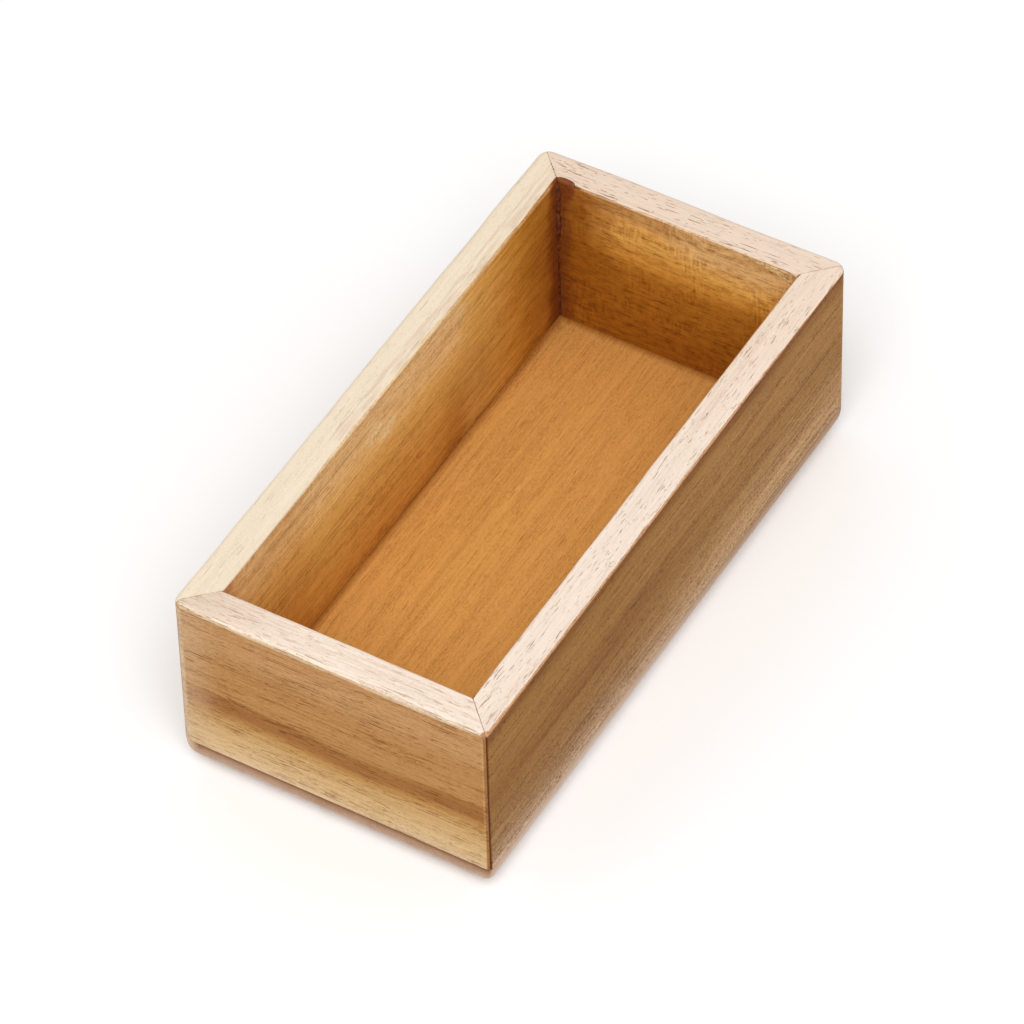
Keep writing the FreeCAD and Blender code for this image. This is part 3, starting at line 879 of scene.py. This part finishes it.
half_width, half_length = outside.x / 2, outside.y / 2
levels = [(TOP_EASE, 0.0, base_top), (0.0, 0.0, base_top - TOP_EASE)]
levels += [(0.0, math.pi / 2 * step / FOOT_STEPS, None) for step in range(FOOT_STEPS + 1)]
rings = []
for inset, slope, z in levels:
    ring = []
    facing_x = Vector((math.cos(slope), 0, -math.sin(slope)))
    facing_y = Vector((0, math.cos(slope), -math.sin(slope)))
    for corner, (x_side, y_side) in enumerate(((1, 1), (-1, 1), (-1, -1), (1, -1))):
        start_round = SHARP_CORNER if (x_side, y_side) == (1, -1) else ROUND_CORNER
        corner_round = start_round + (ROUND_CORNER - start_round) * math.sin(slope)
        reach = FOOT_ROUND - corner_round
        set_in = corner_round + reach * (1 - math.cos(slope))
        centre = Vector((half_width - set_in, half_length - set_in, FOOT_ROUND - reach * math.sin(slope)))
        for step in range(CORNER_STEPS + 1):
            share = step / CORNER_STEPS if corner % 2 == 0 else 1 - step / CORNER_STEPS
            facing = facing_x.slerp(facing_y, share) if slope < math.pi / 2 else facing_x
            point = centre + facing * (corner_round - inset)
            ring.append(Vector((point.x * x_side, point.y * y_side, point.z if z is None else z)))
    rings.append(ring)
count = len(rings[0])
faces = [tuple(range(count)), tuple(reversed(range(count * (len(rings) - 1), count * len(rings))))]
for level in range(len(rings) - 1):
    for number in range(count):
        after = (number + 1) % count
        upper, lower = level * count, (level + 1) * count
        faces.append((upper + number, lower + number, lower + after, upper + after))
mesh = bpy.data.meshes.new("bottom_board")
mesh.from_pydata([tuple(point) for ring in rings for point in ring], [], faces)
shell = bmesh.new()
shell.from_mesh(mesh)
bmesh.ops.remove_doubles(shell, verts=shell.verts, dist=WELD)
bmesh.ops.recalc_face_normals(shell, faces=shell.faces)
for face in shell.faces:
    face.smooth = True
for edge in shell.edges:
    edge.smooth = edge.calc_face_angle(0) < SHARP_ANGLE
shell.to_mesh(mesh)
shell.free()
bottom = bring_in("bottom_board", mesh)
bottom.modifiers.new("flat_faces", "WEIGHTED_NORMAL").keep_sharp = True

wood, tree = start_material("bottom_board_wood")
object_place = add(tree, "ShaderNodeTexCoord").outputs["Object"]
place = add(tree, "ShaderNodeMapping", {"Vector": object_place, "Rotation": (0, 0, -math.pi / 2)}).outputs[0]
x, y, z = parts(tree, object_place)
share = calc(tree, "DIVIDE", z, base_top)
# The rounded lower edge is dark at the seam under the walls, partly a dark joint and partly painted shade where it
# turns down from the light, and grows paler towards the floor with painted light bounced up from it
front_edge = stripes(tree, share, (
    (0.0, 226, 204, 190), (0.4, 224, 200, 184), (0.6, 198, 166, 142), (0.86, 172, 135, 108), (0.94, 150, 111, 81),
    (0.985, 128, 88, 58), (1.0, 118, 80, 50)))
right_edge = stripes(tree, share, (
    (0.0, 236, 220, 212), (0.5, 226, 206, 193), (0.8, 207, 178, 156), (1.0, 196, 165, 138)))
far_right_edge = stripes(tree, share, (
    (0.0, 212, 182, 158), (0.5, 199, 166, 140), (0.92, 177, 140, 112), (1.0, 158, 119, 86)))
right_edge = blend(tree, ramp(tree, y, -0.03, 0.05), right_edge, far_right_edge)
to_front = plus(tree, y, half_length)
to_side = minus(tree, half_width, calc(tree, "ABSOLUTE", x))
on_long_side = ramp(tree, minus(tree, to_front, to_side), -0.0003, 0.0008)
edge_colour = blend(tree, on_long_side, front_edge, right_edge)
from_corner = plus(tree, x, half_width, to_front)
# A pale painted highlight at the near left foot, where the left corner's rounding runs down into the base
edge_colour = blend(tree, ramp(tree, from_corner, *LIT_FOOT_CORNER), edge_colour, shade(216, 188, 160))
edge_colour = blend(tree, ramp(tree, z, *UNDERSIDE), edge_colour, shade(228, 208, 194))
to_end = minus(tree, half_length, calc(tree, "ABSOLUTE", y))
to_edge = calc(tree, "MINIMUM", to_side, to_end)
in_bin = times(tree, ramp(tree, to_edge, *UNDER_WALL), calc(tree, "GREATER_THAN", z, base_top / 2))
floor_colour = blend(tree, ramp(tree, to_edge, WALL + FLOOR_SHADE, WALL), shade(212, 154, 82), shade(160, 100, 40))
grain = place_group(tree, grain_group, Place=place, Seed=23.0, Pore_Share=0.4)
colour = place_group(
    tree, tone_group, Colour=blend(tree, in_bin, edge_colour, floor_colour), Pore_Tint=TAN_PORE,
    Fibres=grain["Fibres"], Pores=grain["Pores"], Bands=grain["Bands"], Curl=grain["Curl"],
    Fibre_Depth=between(tree, in_bin, 0.4, 0.6), Band_Depth=0.2,
    Pore_Depth=between(tree, in_bin, 0.2, 0.5))["Colour"]
finish_wood(wood, colour, between(tree, grain["Pores"], *ROUGHNESS), grain["Fibres"], 0.4)
mesh.materials.append(wood)
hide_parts("base_board")
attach(bottom, "root")


# Glue in the inner corners
# Dark glue squeezed out of the mitres and left to dry in a thin ragged bead. It is thickest near the rim at the back
# left corner.
BEAD_STEPS, BEAD_SIDES = 110, 12
WOBBLE, WOBBLE_REACH, LUMP = (1.0, 1.0, 0.07), (0.0006, 0.0006, 0.0), (1.0, 1.0, 0.035)
BLOTCH = (0.0008, 0.0008, 0.0012)

tree, given, result = start_tree("Glue bead", "GeometryNodeTree", {
    "Bottom": ("Float", 0.008),
    "Top": ("Float", 0.049),
    "Thickness": ("Float", 0.0003),
    "Swelling": ("Float", 1.0),
    "Seed": ("Float", 0.0),
    "Glue": ("Material", None),
}, {"Geometry": "Geometry"})
line = add(tree, "GeometryNodeCurvePrimitiveLine", {
    "Start": triple(tree, 0.0, 0.0, given["Bottom"]), "End": triple(tree, 0.0, 0.0, given["Top"])}).outputs[0]
line = add(tree, "GeometryNodeResampleCurve", {"Curve": line, "Count": BEAD_STEPS}).outputs[0]
share = add(tree, "GeometryNodeSplineParameter").outputs["Factor"]
up_line = triple(tree, 0.0, 0.0, share)
wobble = add(tree, "ShaderNodeTexNoise", {
    "Vector": spread(tree, up_line, WOBBLE, given["Seed"]), "Scale": 1.0, "Detail": 2.0}).outputs["Color"]
wobble = aim(tree, "MULTIPLY", aim(tree, "SUBTRACT", wobble, (0.5, 0.5, 0.5)), WOBBLE_REACH)
line = add(tree, "GeometryNodeSetPosition", {"Geometry": line, "Offset": wobble}).outputs[0]
lumps = speckle(tree, up_line, LUMP, given["Seed"], detail=3.0)
swell = times(tree, ramp(tree, share, 0.55, 0.7, kind="SMOOTHSTEP"), given["Swelling"])
thick = times(tree, given["Thickness"], plus(tree, 1.0, swell), ramp(tree, lumps, 0.3, 0.7, 0.65, 1.5))
thick = times(tree, thick, ramp(tree, share, 0.0, 0.02), ramp(tree, share, 1.0, 0.97))
ring = add(tree, "GeometryNodeCurvePrimitiveCircle", {"Resolution": BEAD_SIDES, "Radius": 1.0}).outputs[0]
bead = add(tree, "GeometryNodeCurveToMesh", {
    "Curve": line, "Profile Curve": ring, "Scale": thick, "Fill Caps": True}).outputs[0]
bead = add(tree, "GeometryNodeMergeByDistance", {"Geometry": bead, "Distance": TINY}).outputs[0]
realized = add(tree, "GeometryNodeRealizeInstances", {"Geometry": bead}).outputs[0]
finished = add(tree, "GeometryNodeSetMaterial", {"Geometry": realized, "Material": given["Glue"]}).outputs[0]
tree.links.new(finished, result["Geometry"])
bead_tree = tree

glue, tree = start_material("dried_glue")
blotch = speckle(tree, add(tree, "ShaderNodeTexCoord").outputs["Object"], BLOTCH, 1.0, detail=2.0)
blotch = ramp(tree, blotch, 0.35, 0.65)
principled = tree.nodes["Principled BSDF"]
put(tree, blend(tree, blotch, shade(66, 30, 16), shade(116, 64, 42)), principled.inputs["Base Color"])
put(tree, between(tree, blotch, 0.35, 0.6), principled.inputs["Roughness"])
principled.inputs["Specular IOR Level"].default_value = 0.2
inner_x, inner_y = half_width - WALL, half_length - WALL
for corner_name, x_side, y_side, below_rim, thickness, swelling, seed in (
    ("back_left", -1, 1, 0.001, 0.0004, 0.8, 4.0),
    ("back_right", 1, 1, 0.003, 0.0002, 0.6, 7.0),
    ("front_left", -1, -1, 0.001, 0.0002, 0.3, 9.0),
    ("front_right", 1, -1, 0.001, 0.0002, 0.5, 12.0),
):
    bead = grow(
        "glue_" + corner_name, bead_tree, Matrix.Translation((inner_x * x_side, inner_y * y_side, 0)),
        Bottom=base_top, Top=outside.z - below_rim, Thickness=thickness, Swelling=swelling, Seed=seed, Glue=glue)
    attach(bead, "root")


# Floor and light
# White paper under the bin, one large soft lamp over the near right corner, and an even pale room.
PAPER_REACH = 4
LAMP_WAY, LAMP_DISTANCE, LAMP_SIZE, LAMP_POWER = Vector((0.27, -0.48, 0.83)), 1.8, 1.2, 18
ROOM_LIGHT = 0.68
WHITE = (1, 1, 1, 1)

floor_mesh = bpy.data.meshes.new("floor")
paper_corners = [(x * PAPER_REACH, y * PAPER_REACH, 0) for x, y in ((-1, -1), (1, -1), (1, 1), (-1, 1))]
floor_mesh.from_pydata(paper_corners, [], [(0, 1, 2, 3)])
bring_in("floor", floor_mesh)


def seen_directly(tree):
    """1 where the camera, a reflection or glass looks at the surface, and 0 where light only falls on it."""
    path = add(tree, "ShaderNodeLightPath").outputs
    return calc(
        tree, "MAXIMUM", calc(tree, "MAXIMUM", path["Is Camera Ray"], path["Is Glossy Ray"]),
        path["Is Transmission Ray"])


paper, tree = start_material("white_paper")
principled = tree.nodes["Principled BSDF"]
put(tree, blend(tree, seen_directly(tree), (0.8, 0.8, 0.8, 1), WHITE), principled.inputs["Base Color"])
principled.inputs["Roughness"].default_value = 1.0
principled.inputs["Specular IOR Level"].default_value = 0.0
floor_mesh.materials.append(paper)

world = bpy.data.worlds.new("studio")
bpy.context.scene.world = world
world.use_nodes = True
tree = world.node_tree
background = tree.nodes["Background"]
background.inputs["Color"].default_value = WHITE
put(tree, between(tree, seen_directly(tree), ROOM_LIGHT, 1.0), background.inputs["Strength"])

lamp = bring_in("softbox", bpy.data.lights.new("softbox", "AREA"))
lamp.data.size, lamp.data.energy = LAMP_SIZE, LAMP_POWER
lamp.location = LAMP_WAY.normalized() * LAMP_DISTANCE
lamp.rotation_euler = (-lamp.location).to_track_quat("-Z", "Y").to_euler()
